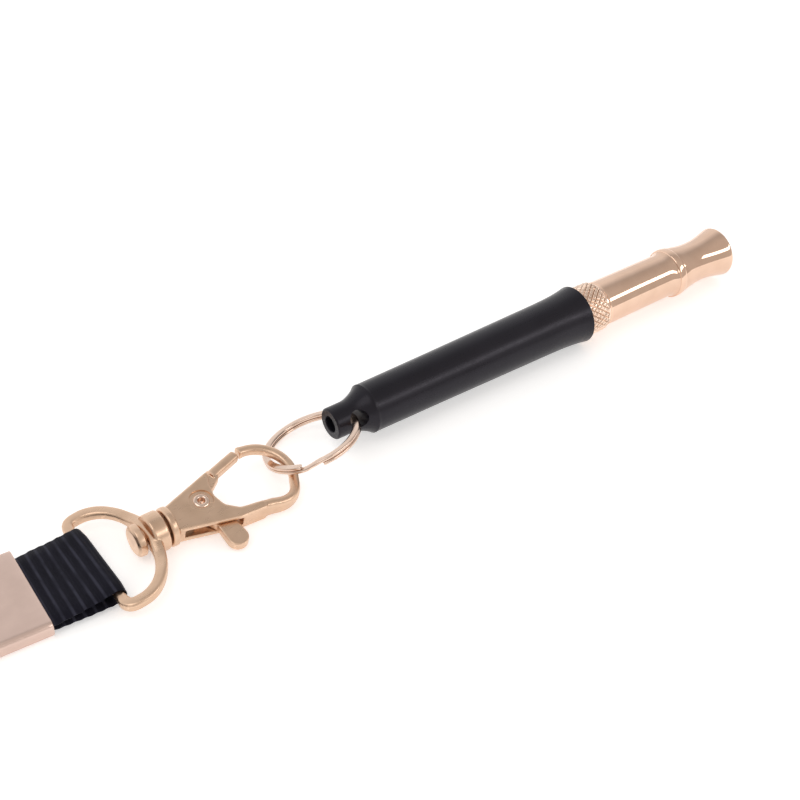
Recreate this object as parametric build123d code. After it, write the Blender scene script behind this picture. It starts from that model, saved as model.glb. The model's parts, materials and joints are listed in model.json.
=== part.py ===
from build123d import *
import os
from math import asin, cos, degrees, radians, sin

# Adjustable dog-training whistle on a swivel clasp and a neck strap. Millimetres, +Z up.
# The strap, the clasp and the whistle lie in one line along X on a table at Z = 0.
# The origin is under the middle of the whole object without the free neck strap.

# ---- driving dimensions ------------------------------------------------------------------

WHISTLE_LENGTH = 84.0
NOSE_X = -8.5  # closed end of the cover
WHISTLE_Y = 3.2  # the whistle lies a little to one side of the strap's centre line
COVER_MOUTH_R = 5.0  # flared mouth, the part of the cover that touches the table
WHISTLE_Z = COVER_MOUTH_R

COVER_LENGTH = 50.4
COVER_NOSE_R = 2.62
COVER_RIM_R = 4.05
COVER_RIM_AT = 6.6
COVER_BODY_R = 4.42  # just before the mouth flares
COVER_BORE_R = 3.3
COVER_BORE_FROM = 8.2
MOUTH_RECESS_R = 4.5
MOUTH_RECESS = 1.1
RING_HOLE_AT = 3.75
RING_HOLE_R = 1.65
NOSE_RECESS_R = 1.35
NOSE_RECESS = 1.3

TUBE_R = 3.1
TUBE_FROM = 13.2
TUBE_BORE_R = 2.1
TUBE_BORE_FROM = 16.2
STEM_R = 2.85
STEM_FROM = 48.8
STEM_TO = 62.0
WINDOW = (36.2, 38.8)
RUNNING_GAP = 0.05
GRIP_RING_AT = 46.0
PISTON_ROD_R = 1.0
PISTON_ROD_FROM = 8.9
PISTON = (20.0, 22.4)
PISTON_GROOVE = (20.7, 21.7)
REAR_NUT = (11.7, 12.9)

NUT = (49.7, 54.8)
NUT_R = 4.38
WASHER_THICKNESS = 0.3
MOUTHPIECE_FROM = 55.15
SEAL_AT = 57.4
SEAL_WIRE_R = 0.3
SEAL_R = STEM_R + SEAL_WIRE_R + 0.03
BARREL_R = 3.95
COLLAR_R = 4.43
WAIST_R = 3.62
LIP_R = 4.42

RING_OUTER_R = 8.0
RING_WIRE_WIDTH = 1.15
RING_WIRE_THICKNESS = 0.6
RING_TILT = 20.0  # the near side of the ring is the higher one
RING_PITCH = 10.0  # the ring slopes down from the cover to the hook
RING_CENTRE_BACK = 7.65  # from the cover's hole to the middle of the ring
RING_RAMP = 26.0  # degrees over which the wire crosses from one coil to the other
RING_RAMP_AT = 238.0

WEB_WIDTH = 15.6
WEB_THICKNESS = 0.8
CRIMP_LENGTH = 15.0
CRIMP_WIDTH = 16.8
CRIMP_PLATE = 0.6
CRIMP_FROM = -75.5

SWIVEL_Y = -0.4
SWIVEL_Z = 3.15
D_WIRE_WIDTH = 2.0
D_WIRE_HEIGHT = 1.6
D_TILT = 6.5  # the D-ring slopes down from its boss to its bar
D_BAR_BACK = 9.65  # from the middle of the boss to the bar, along the D-ring
D_ARC_BACK = 7.4  # to where the bend starts
D_BEND_R = 5.4  # at both sides of the bend, which is flatter at its crown
D_HALF_WIDTH = 9.87
BOSS_X = -41.45
BOSS_LENGTH = 2.5
BOSS_R = 3.1
PIN_R = 1.2
PIN_HEAD_R = 2.5
PIN_HEAD = 1.0

CLASP_ROLL = 13.0  # the clasp lies with its thumb tab down on the table
CLASP_PITCH = 1.5  # and its hook a little lower than its swivel
BODY_HALF = 1.6
SLOT_HALF = 0.85
LEVER_HALF = 0.72
FLANGE = (1.55, 2.75)
FLANGE_R = 3.05
SLOT = (3.6, 12.3)
RIVET = (8.15, 0.9)
RIVET_R = 0.85
RIVET_HEAD_R = 1.4
RIVET_RECESS_R = 1.85
RIVET_EYE_R = 0.5
HOOK_R = 0.72
HOOK_CENTRE = (18.4, 1.4)
HOOK_BEND_R = 5.45

# the neck strap is put away in a coil that stands on the strap's edge
STRAP_LEAD = 42.0
STRAP_COIL_R = 54.0

os.makedirs("parts", exist_ok=True)


# ---- small helpers -----------------------------------------------------------------------


def tube_between(start, stop, outer, inner=0.0):
    """A round piece about the whistle's axis, from one station to another."""
    body = Cylinder(outer, stop - start)
    if inner:
        body -= Cylinder(inner, stop - start)
    return Pos((start + stop) / 2, 0, 0) * Rot(0, 90, 0) * body


def turned(edges):
    """A solid turned about the whistle's axis from outline edges that close on it."""
    return revolve(make_face(edges), axis=Axis.X)


def on_whistle(shape):
    return Pos(NOSE_X, WHISTLE_Y, WHISTLE_Z) * shape


def slab(outline, low, high):
    """A flat piece of a closed outline, from one height to another."""
    return extrude(Pos(0, 0, low) * outline, high - low)


def rod_between(start, end, radius):
    line = Line(start, end)
    return sweep(Plane(origin=line @ 0, z_dir=line % 0) * Circle(radius), path=line)


def save(name, shape):
    shape.label = name
    export_step(shape, "parts/" + name + ".step")


# ---- the whistle -------------------------------------------------------------------------


def protective_cover():
    neck_end = 3.1
    edge = 0.25
    lip = 0.12
    flare_from = 43.0
    rim_at = COVER_RIM_AT
    outline = [
        Line((0, 0), (0, COVER_NOSE_R - edge)),
        Line((0, COVER_NOSE_R - edge), (edge, COVER_NOSE_R)),
        Line((edge, COVER_NOSE_R), (neck_end, COVER_NOSE_R)),
        ThreePointArc((neck_end, COVER_NOSE_R), (5.2, 3.2), (rim_at - lip, COVER_RIM_R - lip)),
        Line((rim_at - lip, COVER_RIM_R - lip), (rim_at + lip, COVER_RIM_R)),
        Line((rim_at + lip, COVER_RIM_R), (flare_from, COVER_BODY_R)),
        ThreePointArc((flare_from, COVER_BODY_R), (47.4, 4.6), (COVER_LENGTH - lip, COVER_MOUTH_R)),
        Line((COVER_LENGTH - lip, COVER_MOUTH_R), (COVER_LENGTH, COVER_MOUTH_R - lip)),
        Line((COVER_LENGTH, COVER_MOUTH_R - lip), (COVER_LENGTH, 0)),
        Line((COVER_LENGTH, 0), (0, 0)),
    ]
    cover = turned(outline)
    cover -= tube_between(COVER_BORE_FROM, COVER_LENGTH + 1, COVER_BORE_R)
    cover -= tube_between(COVER_LENGTH - MOUTH_RECESS, COVER_LENGTH + 1, MOUTH_RECESS_R)
    cover -= tube_between(-1, NOSE_RECESS, NOSE_RECESS_R)
    hole = Rot(90 - RING_TILT, 0, 0) * Cylinder(RING_HOLE_R, 3 * COVER_NOSE_R)
    return cover - Pos(RING_HOLE_AT, 0, 0) * hole


def sound_tube():
    groove = 0.45
    tube = tube_between(TUBE_FROM, STEM_FROM, TUBE_R) + tube_between(STEM_FROM, STEM_TO, STEM_R)
    tube -= tube_between(TUBE_BORE_FROM, STEM_TO + 1, TUBE_BORE_R)
    tube -= tube_between(TUBE_FROM - 1, TUBE_BORE_FROM + 1, PISTON_ROD_R + RUNNING_GAP)
    tube -= tube_between(GRIP_RING_AT - groove, GRIP_RING_AT + groove, TUBE_R + 1, 2.42)
    window = Pos(sum(WINDOW) / 2, 0, TUBE_R) * Box(WINDOW[1] - WINDOW[0], 3.4, 3.0)
    return tube - window


def cover_grip_ring():
    return Pos(GRIP_RING_AT, 0, 0) * Rot(0, 90, 0) * Torus(2.86, 0.38)


def nozzle_core():
    """The plug that narrows the breath to a flat jet aimed at the window's far edge."""
    start = WINDOW[1]
    stop = 46.8
    core = tube_between(start, stop, TUBE_BORE_R)
    flat = Pos((start + stop) / 2, 0, TUBE_BORE_R) * Box(stop - start + 1, 4.4, 1.0)
    return core - flat


def tuning_piston():
    piston = tube_between(PISTON_ROD_FROM, PISTON[1], PISTON_ROD_R)
    piston += tube_between(PISTON[0], PISTON_GROOVE[0], TUBE_BORE_R - RUNNING_GAP)
    piston += tube_between(PISTON_GROOVE[0], PISTON_GROOVE[1], 1.45)
    piston += tube_between(PISTON_GROOVE[1], PISTON[1], TUBE_BORE_R - RUNNING_GAP)
    return piston - Pos(PISTON_ROD_FROM, 0, 0) * Box(1.2, 3, 0.4)


def piston_seal():
    side_gap = 0.03
    low = PISTON_GROOVE[0] + side_gap
    high = PISTON_GROOVE[1] - side_gap
    return tube_between(low, high, TUBE_BORE_R - 0.02, 1.5)


def rear_washer():
    side_gap = 0.02
    return tube_between(REAR_NUT[1] + side_gap, TUBE_FROM - side_gap, 2.4, PISTON_ROD_R + RUNNING_GAP)


def rear_nut():
    half = (REAR_NUT[1] - REAR_NUT[0]) / 2
    nut = Pos(REAR_NUT[0] + half, 0, 0) * Rot(0, 90, 0) * extrude(RegularPolygon(2.3, 6), half, both=True)
    return nut - tube_between(REAR_NUT[0] - 1, REAR_NUT[1] + 1, PISTON_ROD_R + RUNNING_GAP)


def lock_nut():
    bevel = 0.3
    nut = chamfer(tube_between(*NUT, NUT_R).edges(), bevel)
    return nut - tube_between(NUT[0] - 1, NUT[1] + 1, STEM_R + RUNNING_GAP)


def lock_washer():
    middle = (NUT[1] + MOUTHPIECE_FROM) / 2
    low = middle - WASHER_THICKNESS / 2
    return tube_between(low, low + WASHER_THICKNESS, BARREL_R - 0.1, STEM_R + RUNNING_GAP)


def stem_seal():
    return Pos(SEAL_AT, 0, 0) * Rot(0, 90, 0) * Torus(SEAL_R, SEAL_WIRE_R)


def mouthpiece():
    start = MOUTHPIECE_FROM
    outline = [
        Line((start, 0), (start, BARREL_R - 0.3)),
        Line((start, BARREL_R - 0.3), (start + 0.3, BARREL_R)),
        Line((start + 0.3, BARREL_R), (70.2, 3.88)),
        ThreePointArc((70.2, 3.88), (70.75, 4.02), (71.2, 4.32)),
        Line((71.2, 4.32), (71.55, COLLAR_R)),
        Line((71.55, COLLAR_R), (72.85, COLLAR_R)),
        ThreePointArc((72.85, COLLAR_R), (73.7, 4.2), (74.6, 3.98)),
        ThreePointArc((74.6, 3.98), (78.2, WAIST_R), (81.6, 3.97)),
        ThreePointArc((81.6, 3.97), (82.6, 4.17), (83.55, LIP_R)),
        ThreePointArc((83.55, LIP_R), (83.9, 4.36), (WHISTLE_LENGTH, 4.1)),
        Line((WHISTLE_LENGTH, 4.1), (WHISTLE_LENGTH, 0)),
        Line((WHISTLE_LENGTH, 0), (start, 0)),
    ]
    body = turned(outline)
    body -= tube_between(start - 1, STEM_TO + 0.6, STEM_R + RUNNING_GAP)
    body -= tube_between(STEM_TO, WHISTLE_LENGTH + 1, 1.9)
    throat = [
        Line((78.5, 0), (78.5, 1.9)),
        ThreePointArc((78.5, 1.9), (81.8, 2.3), (WHISTLE_LENGTH, 3.3)),
        Line((WHISTLE_LENGTH, 3.3), (WHISTLE_LENGTH, 0)),
        Line((WHISTLE_LENGTH, 0), (78.5, 0)),
    ]
    body -= turned(throat)
    return body - tube_between(SEAL_AT - 0.35, SEAL_AT + 0.35, SEAL_R + SEAL_WIRE_R + 0.03)


# ---- the split ring ----------------------------------------------------------------------


def ring_frame():
    """The ring lies in this plane: its X points from the ring's middle to the cover's hole."""
    hole = Vector(NOSE_X + RING_HOLE_AT, WHISTLE_Y, WHISTLE_Z)
    across = Vector(0, cos(radians(RING_TILT)), -sin(radians(RING_TILT)))
    level = Vector(0, sin(radians(RING_TILT)), cos(radians(RING_TILT)))
    forward = Vector(1, 0, 0) * cos(radians(RING_PITCH)) + level * sin(radians(RING_PITCH))
    return Plane(origin=hole - forward * RING_CENTRE_BACK, x_dir=forward, z_dir=forward.cross(across))


def split_ring():
    inner = RING_OUTER_R - RING_WIRE_WIDTH
    step = RING_WIRE_THICKNESS
    band = Circle(RING_OUTER_R) - Circle(inner)
    half = RING_RAMP / 2
    reach = 2 * RING_OUTER_R
    corners = [(0, 0)]
    corners += [(reach * cos(radians(a)), reach * sin(radians(a))) for a in (-half, 0, half)]
    gap = Rot(0, 0, RING_RAMP_AT) * make_face(Polyline(*corners, close=True))
    coil = band - gap
    wire = slab(coil, 0, step) + slab(coil, -step, 0)
    cuts = 5
    sections = []
    for i in range(cuts):
        part = i / (cuts - 1)
        turn = RING_RAMP_AT - half + RING_RAMP * part
        at = Rot(0, 0, turn) * Pos((RING_OUTER_R + inner) / 2, 0, step * (part - 0.5))
        sections.append(at * Rot(90, 0, 0) * Rectangle(RING_WIRE_WIDTH, step))
    return ring_frame().location * (wire + loft(sections, ruled=True))


# ---- the clasp ---------------------------------------------------------------------------


def on_swivel(shape):
    """Places a piece that turns with the clasp about the swivel's level axis."""
    return Pos(BOSS_X, SWIVEL_Y, SWIVEL_Z) * Rot(CLASP_ROLL, 0, 0) * shape


def on_clasp(shape):
    """Places a piece drawn on the clasp's own flat plane, with X from the boss to the hook."""
    return on_swivel(Rot(0, CLASP_PITCH, 0) * shape)


def hook_path():
    cx, cy = HOOK_CENTRE
    r = HOOK_BEND_R
    top = 94.0
    bottom = -98.0
    tip = (cx + r * cos(radians(top)), cy + r * sin(radians(top)))
    root = (cx + r * cos(radians(bottom)), cy + r * sin(radians(bottom)))
    bend = ThreePointArc(tip, (cx + r, cy), root)
    along = bend % 1
    return bend + Line(root, (root[0] + 5.2 * along.X, root[1] + 5.2 * along.Y))


def clasp_body():
    outline = (
        Polyline((11.3, 4.3), (11.7, 5.4), (2.4, 2.3), (2.4, -2.3), (12.0, -4.45), (15.6, -4.9))
        + Polyline((15.6, -4.9), (16.0, -3.1), (12.8, -2.75))
        + ThreePointArc((12.8, -2.75), (10.4, 0.4), (11.3, 4.3))
    )
    body = slab(make_face(outline), -BODY_HALF, BODY_HALF)
    path = hook_path()
    hook = sweep(Plane(origin=path @ 0, z_dir=path % 0) * Circle(HOOK_R), path=path)
    body += hook
    flange = Pos(sum(FLANGE) / 2, 0, 0) * Rot(0, 90, 0) * Cylinder(FLANGE_R, FLANGE[1] - FLANGE[0])
    body += flange
    slot_middle = sum(SLOT) / 2
    body -= Pos(slot_middle, 0, 0) * Box(SLOT[1] - SLOT[0], 14, 2 * SLOT_HALF)
    body -= Pos(*RIVET, 0) * Cylinder(RIVET_R, 4)
    for side in (-1, 1):
        body -= Pos(*RIVET, side * (BODY_HALF - 0.1)) * Cylinder(RIVET_RECESS_R, 0.6)
    socket = Rot(0, -CLASP_PITCH, 0) * Pos(1.6, 0, 0) * Rot(0, 90, 0) * Cylinder(PIN_R, 3.2)
    return on_clasp(body - socket)


def clasp_lever():
    """The sprung gate of the hook and its thumb tab, in one piece on the rivet."""
    gate_root = (12.1, 4.85)
    gate_tip = (17.5, 6.65)
    arm = Polyline((6.3, 2.2), (11.9, 5.2), (12.9, 5.6), (13.0, 3.9), (10.6, 2.1), (10.4, 0.3))
    arm += Polyline((10.4, 0.3), (6.3, 0.3), (6.3, 2.2))
    leg = Polyline((6.4, -0.6), (9.6, -0.6), (11.3, -3.8), (11.65, -6.55), (8.35, -6.55), (8.3, -3.6))
    leg += Line((8.3, -3.6), (6.4, -0.6))
    tail = Polyline((5.7, -1.6), (8.0, -2.3), (8.0, 0.2), (5.7, -0.2), close=True)
    flat = make_face(arm) + make_face(leg) + make_face(tail)
    flat += Pos(*RIVET) * Circle(2.2) + Pos(10.0, -6.55) * Circle(1.65)
    lever = slab(flat, -LEVER_HALF, LEVER_HALF)
    gate = rod_between((*gate_root, 0), (*gate_tip, 0), HOOK_R + 0.1)
    keep = Pos(16.5, 5, 0) * Box(8.3, 8, 4)
    lever += gate & keep
    return on_clasp(lever - Pos(*RIVET, 0) * Cylinder(RIVET_R + RUNNING_GAP, 4))


def clasp_rivet():
    rivet = Cylinder(RIVET_R, 2 * BODY_HALF - 0.8)
    for side in (-1, 1):
        rivet += Pos(0, 0, side * (BODY_HALF - 0.2)) * Cylinder(RIVET_HEAD_R, 0.4)
    rivet -= Cylinder(RIVET_EYE_R, 4)
    return on_clasp(Pos(*RIVET, 0) * rivet)


def lever_spring():
    wire_r = 0.11
    mean_r = 0.5
    length = 1.75
    turns = 5
    helix = Helix(pitch=length / turns, height=length, radius=mean_r)
    start = helix @ 0
    wire = sweep(Plane(origin=start, z_dir=helix % 0) * Circle(wire_r), path=helix, is_frenet=True)
    return on_clasp(Pos(SLOT[0] + 0.16, -0.9, 0) * Rot(0, 90, 0) * wire)


def swivel_pin():
    head_at = -(BOSS_LENGTH / 2) - 1.05
    shaft_from = head_at - 0.1
    shaft_to = 3.2
    shaft = Pos((shaft_from + shaft_to) / 2, 0, 0) * Rot(0, 90, 0) * Cylinder(PIN_R, shaft_to - shaft_from)
    head = Rot(0, 90, 0) * Cylinder(PIN_HEAD_R, PIN_HEAD)
    head = chamfer(head.edges().group_by(Axis.X)[0], 0.3)
    return on_swivel(shaft + Pos(head_at - PIN_HEAD / 2, 0, 0) * head)


def on_d_ring(shape):
    """Places a piece drawn on the D-ring's plane, with X from its bar to the middle of its boss."""
    return Pos(BOSS_X, SWIVEL_Y, SWIVEL_Z) * Rot(0, -D_TILT, 0) * shape


def swivel_ring():
    """The cast D-ring with the boss in its bend that the clasp's pin turns in."""
    corner = 1.6
    bar = FilletPolyline(
        (-D_ARC_BACK, -D_HALF_WIDTH),
        (-D_BAR_BACK, -D_HALF_WIDTH),
        (-D_BAR_BACK, D_HALF_WIDTH),
        (-D_ARC_BACK, D_HALF_WIDTH),
        radius=corner,
    )
    side_turn = 62.0
    crown_r = (D_HALF_WIDTH - D_BEND_R * (1 - cos(radians(side_turn)))) / cos(radians(side_turn))
    far_side = JernArc((-D_ARC_BACK, D_HALF_WIDTH), (1, 0), D_BEND_R, -side_turn)
    crown = JernArc(far_side @ 1, far_side % 1, crown_r, 2 * side_turn - 180)
    near_side = JernArc(crown @ 1, crown % 1, D_BEND_R, -side_turn)
    path = bar + far_side + crown + near_side
    section = RectangleRounded(D_WIRE_WIDTH, D_WIRE_HEIGHT, 0.45)
    ring = sweep(Plane(origin=path @ 0, x_dir=(0, 1, 0), z_dir=path % 0) * section, path=path)
    boss = Pos(BOSS_X, SWIVEL_Y, SWIVEL_Z) * Rot(0, 90, 0) * Cylinder(BOSS_R, BOSS_LENGTH)
    bore = Pos(BOSS_X, SWIVEL_Y, SWIVEL_Z) * Rot(0, 90, 0) * Cylinder(PIN_R + 0.06, 8)
    return on_d_ring(ring) + boss - bore


# ---- webbing, crimp and neck strap -------------------------------------------------------


def loop_section(start, low, high, radius):
    """A closed outline in the XZ plane: from two points at one station round the D-ring's bar."""
    bar = bar_middle()
    touch = []
    for z, side in ((low, -1), (high, 1)):
        towards = bar - Vector(start, z)
        angle = degrees(asin(radius / towards.length))
        reach = (towards.length**2 - radius**2) ** 0.5
        touch.append(Vector(start, z) + towards.rotate(Axis.Z, side * angle).normalized() * reach)
    corners = Polyline((start, low), touch[0], touch[1], (start, high), (start, low))
    return make_face(corners) + Pos(bar.X, bar.Y) * Circle(radius)


def bar_middle():
    """The middle of the D-ring's bar, as X and Z."""
    tilt = radians(D_TILT)
    return Vector(BOSS_X - D_BAR_BACK * cos(tilt), SWIVEL_Z - D_BAR_BACK * sin(tilt))


def webbing_tab():
    """Short piece of webbing, folded round the D-ring's bar, both ends in the crimp."""
    inner = D_WIRE_WIDTH / 2 + 0.12
    middle = CRIMP_FROM + CRIMP_LENGTH / 2
    crimp_edge = CRIMP_FROM + CRIMP_LENGTH
    low = CRIMP_PLATE
    high = CRIMP_PLATE + 2 * WEB_THICKNESS
    seam = (low + high) / 2
    fold_from = crimp_edge + 0.6
    outside = loop_section(fold_from, low, high, inner + WEB_THICKNESS)
    inside = loop_section(fold_from + 1.6, seam - 0.02, seam + 0.02, inner)
    web = extrude(Plane.XZ * (outside - inside), WEB_WIDTH / 2, both=True)
    flat = Pos((middle + fold_from) / 2, 0, seam) * Box(fold_from - middle, WEB_WIDTH, high - low)
    return web + flat


def crimp():
    """A plate folded round the webbing's edges, with its seam along one side."""
    height = 2 * (CRIMP_PLATE + WEB_THICKNESS)
    middle = CRIMP_FROM + CRIMP_LENGTH / 2
    shell = Pos(middle, 0, height / 2) * Box(CRIMP_LENGTH, CRIMP_WIDTH, height)
    shell = fillet(shell.edges().filter_by(Axis.X), 1.2)
    room = Pos(middle, 0, height / 2) * Box(CRIMP_LENGTH + 1, WEB_WIDTH, 2 * WEB_THICKNESS)
    return shell - room


def strap_coil():
    """The outer shape of the wound strap, which stands on its edge."""
    middle = CRIMP_FROM - STRAP_LEAD - STRAP_COIL_R
    return Pos(middle, 0, WEB_WIDTH / 2) * Cylinder(STRAP_COIL_R, WEB_WIDTH)


def strap_lead(layer):
    """One end of the neck strap, from the middle of the crimp to the coil."""
    start = CRIMP_FROM - STRAP_LEAD - STRAP_COIL_R / 2
    stop = CRIMP_FROM + CRIMP_LENGTH / 2
    z = CRIMP_PLATE + (layer + 0.5) * WEB_THICKNESS
    lead = Pos((start + stop) / 2, 0, z) * Box(stop - start, WEB_WIDTH, WEB_THICKNESS)
    return lead - strap_coil()


PARTS = {
    "protective_cover": on_whistle(protective_cover()),
    "sound_tube": on_whistle(sound_tube()),
    "cover_grip_ring": on_whistle(cover_grip_ring()),
    "nozzle_core": on_whistle(nozzle_core()),
    "tuning_piston": on_whistle(tuning_piston()),
    "piston_seal": on_whistle(piston_seal()),
    "rear_washer": on_whistle(rear_washer()),
    "rear_nut": on_whistle(rear_nut()),
    "lock_nut": on_whistle(lock_nut()),
    "lock_washer": on_whistle(lock_washer()),
    "stem_seal": on_whistle(stem_seal()),
    "mouthpiece": on_whistle(mouthpiece()),
    "split_ring": split_ring(),
    "clasp_body": clasp_body(),
    "clasp_lever": clasp_lever(),
    "clasp_rivet": clasp_rivet(),
    "lever_spring": lever_spring(),
    "swivel_pin": swivel_pin(),
    "swivel_ring": swivel_ring(),
    "webbing_tab": webbing_tab(),
    "crimp": crimp(),
    "neck_strap_lower": strap_lead(0),
    "neck_strap_upper": strap_lead(1),
    "neck_strap_coil": strap_coil(),
}

for name, shape in PARTS.items():
    save(name, shape)
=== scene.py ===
import json
import math

import bpy
from mathutils import Matrix, Vector, noise


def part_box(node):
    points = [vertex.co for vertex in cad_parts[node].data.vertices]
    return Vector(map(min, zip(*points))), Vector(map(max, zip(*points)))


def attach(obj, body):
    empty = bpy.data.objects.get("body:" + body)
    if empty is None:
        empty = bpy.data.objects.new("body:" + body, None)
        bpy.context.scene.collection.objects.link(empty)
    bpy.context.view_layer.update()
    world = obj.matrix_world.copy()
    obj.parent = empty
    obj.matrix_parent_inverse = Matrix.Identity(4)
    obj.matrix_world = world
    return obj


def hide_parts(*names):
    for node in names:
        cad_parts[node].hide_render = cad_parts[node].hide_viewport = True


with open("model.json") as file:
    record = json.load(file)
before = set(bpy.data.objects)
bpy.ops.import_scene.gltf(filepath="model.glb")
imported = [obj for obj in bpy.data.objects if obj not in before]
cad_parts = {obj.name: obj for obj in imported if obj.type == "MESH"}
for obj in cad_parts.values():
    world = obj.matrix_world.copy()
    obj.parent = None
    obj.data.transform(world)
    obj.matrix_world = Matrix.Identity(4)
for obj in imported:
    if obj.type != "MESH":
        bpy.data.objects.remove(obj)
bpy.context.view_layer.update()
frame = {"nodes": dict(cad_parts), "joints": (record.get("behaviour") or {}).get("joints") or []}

# An adjustable training whistle on a split ring, a swivel clasp and a webbing neck strap.
# Lengths are in metres, in the CAD model's frame. MM turns a size in millimetres into metres.

MM = 0.001
TURN = 2 * math.pi


# ---- where things are ----------------------------------------------------------------------

JOINTS = {joint["name"]: joint for joint in frame["joints"]}


def joint_place(name):
    return Vector(JOINTS[name]["pos_m"])


def joint_axis(name):
    return Vector(JOINTS[name]["axis"]).normalized()


def basis(origin, x, y, z):
    matrix = Matrix((x, y, z)).transposed().to_4x4()
    matrix.translation = origin
    return matrix


def whistle_frame():
    """X runs along the whistle's axis from the cover's closed end."""
    low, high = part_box("mouthpiece")
    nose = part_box("protective_cover")[0].x
    return Matrix.Translation((nose, (low.y + high.y) / 2, (low.z + high.z) / 2))


ALONG_X = Vector((1, 0, 0))
GATE_AXIS = joint_axis("gate_press")
GATE_SIDE = GATE_AXIS.cross(ALONG_X).normalized()


def clasp_frame():
    """X runs from the swivel to the hook, Y to the gate's side, Z out of the flat face."""
    return basis(joint_place("swivel"), GATE_SIDE.cross(GATE_AXIS), GATE_SIDE, GATE_AXIS)


def swivel_frame():
    """X is the swivel's axis; Y and Z turn with the clasp."""
    return basis(joint_place("swivel"), ALONG_X, GATE_SIDE, ALONG_X.cross(GATE_SIDE))


def ring_frame():
    """X runs from the ring's middle to the cover's hole, Z along the ring's own axis."""
    z = joint_axis("ring_turn")
    origin = joint_place("ring_turn")
    x = (joint_place("cover_swing") - origin).normalized()
    return basis(origin, x, z.cross(x), z)


WHISTLE = whistle_frame()
CLASP = clasp_frame()
SWIVEL = swivel_frame()
RING = ring_frame()


# ---- making meshes -------------------------------------------------------------------------


def new_piece(name, points, faces, smooth_angle=40.0):
    mesh = bpy.data.meshes.new(name)
    mesh.from_pydata([tuple(p) for p in points], [], faces)
    mesh.validate()
    piece = bpy.data.objects.new(name, mesh)
    bpy.context.scene.collection.objects.link(piece)
    shade(piece, smooth_angle)
    return piece


def shade(piece, angle):
    """Smooth shading, with an edge where two faces meet at more than the angle."""
    mesh = piece.data
    mesh.shade_smooth()
    mesh.set_sharp_from_angle(angle=math.radians(angle))


def skin(rings, closed=False, caps=True):
    """Points and faces of a surface through rings of equally many points."""
    count = len(rings[0])
    points = [p for ring in rings for p in ring]
    faces = []
    steps = len(rings) if closed else len(rings) - 1
    for i in range(steps):
        a = i * count
        b = (i + 1) % len(rings) * count
        for j in range(count):
            k = (j + 1) % count
            faces.append((a + j, a + k, b + k, b + j))
    if caps and not closed:
        faces.append(tuple(range(count - 1, -1, -1)))
        faces.append(tuple((len(rings) - 1) * count + j for j in range(count)))
    return points, faces


def arc(centre, radius, start, stop, steps):
    """Points of a circular arc in a flat outline, angles in degrees."""
    points = []
    for i in range(steps + 1):
        angle = math.radians(start + (stop - start) * i / steps)
        points.append((centre[0] + radius * math.cos(angle), centre[1] + radius * math.sin(angle)))
    return points


def rounded(corners, steps=5):
    """A flat outline with its corners rounded; each corner is (x, y, radius)."""
    points = []
    count = len(corners)
    for i, (x, y, radius) in enumerate(corners):
        here = Vector((x, y))
        before = (Vector(corners[i - 1][:2]) - here).normalized()
        after = (Vector(corners[(i + 1) % count][:2]) - here).normalized()
        half = before.angle(after) / 2
        if radius <= 0 or half > 1.55:
            points.append(here)
            continue
        start = here + before * radius / math.tan(half)
        stop = here + after * radius / math.tan(half)
        for step in range(steps + 1):
            t = step / steps
            points.append(start * (1 - t) ** 2 + here * 2 * t * (1 - t) + stop * t * t)
    return [(p.x, p.y) for p in points]


def soften(profile, radius, steps=4):
    """An open outline with its inner corners rounded."""
    points = [Vector(profile[0])]
    for before, here, after in zip(profile, profile[1:], profile[2:]):
        here = Vector(here)
        to_before = Vector(before) - here
        to_after = Vector(after) - here
        reach = min(radius, to_before.length * 0.45, to_after.length * 0.45)
        start = here + to_before.normalized() * reach
        stop = here + to_after.normalized() * reach
        for step in range(steps + 1):
            t = step / steps
            points.append(start * (1 - t) ** 2 + here * 2 * t * (1 - t) + stop * t * t)
    points.append(Vector(profile[-1]))
    return [(p.x, p.y) for p in points]


def turned(name, profile, place, segments=96, closed=False, smooth_angle=40.0):
    """A lathed piece; the profile is (along the axis, radius) in millimetres."""
    rings = [ring_points(along, radius, place, segments) for along, radius in profile]
    points, faces = skin(rings, closed=closed)
    return new_piece(name, points, faces, smooth_angle)


def ring_points(x, radius, place, count):
    """Points of one round station of a turned solid."""
    angles = (TURN * j / count for j in range(count))
    return [place @ Vector((x, radius * math.cos(a), radius * math.sin(a))) for a in angles]


def scaled(place):
    """A place whose local units are millimetres."""
    return place @ Matrix.Scale(MM, 4)


def superellipse(half_width, half_height, power, count):
    """Points round a section between an ellipse (2) and a box (large powers)."""
    points = []
    for j in range(count):
        angle = TURN * j / count
        c, s = math.cos(angle), math.sin(angle)
        x = math.copysign(abs(c) ** (2 / power), c) * half_width
        y = math.copysign(abs(s) ** (2 / power), s) * half_height
        points.append((x, y))
    return points


def swept(path, sides, sections, place, closed=False):
    """Rings of a swept solid: at each path point a side vector, and a section across it.

    A section's x lies along the side vector, its y along the path's own upright."""
    rings = []
    count = len(path)
    for i in range(count):
        before = path[i - 1] if i or closed else path[0]
        after = path[(i + 1) % count] if i < count - 1 or closed else path[-1]
        along = (after - before).normalized()
        side = (sides[i] - along * sides[i].dot(along)).normalized()
        up = side.cross(along)
        rings.append([place @ (path[i] + side * x + up * y) for x, y in sections[i]])
    return skin(rings, closed=closed)


def prism(outline, low, high, bevel, place, steps=2):
    """A flat plate of an outline, with its rims bevelled round. All in millimetres."""
    lower = []
    for step in range(steps + 1):
        angle = math.pi / 2 * step / steps
        lower.append((low + bevel * (1 - math.cos(angle)), bevel * (1 - math.sin(angle))))
    upper = [(low + high - z, inset) for z, inset in reversed(lower)]
    rings = []
    for z, inset in lower + upper:
        rings.append([place @ Vector((x, y, z)) for x, y in shrunk(outline, inset)])
    return skin(rings)


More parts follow.
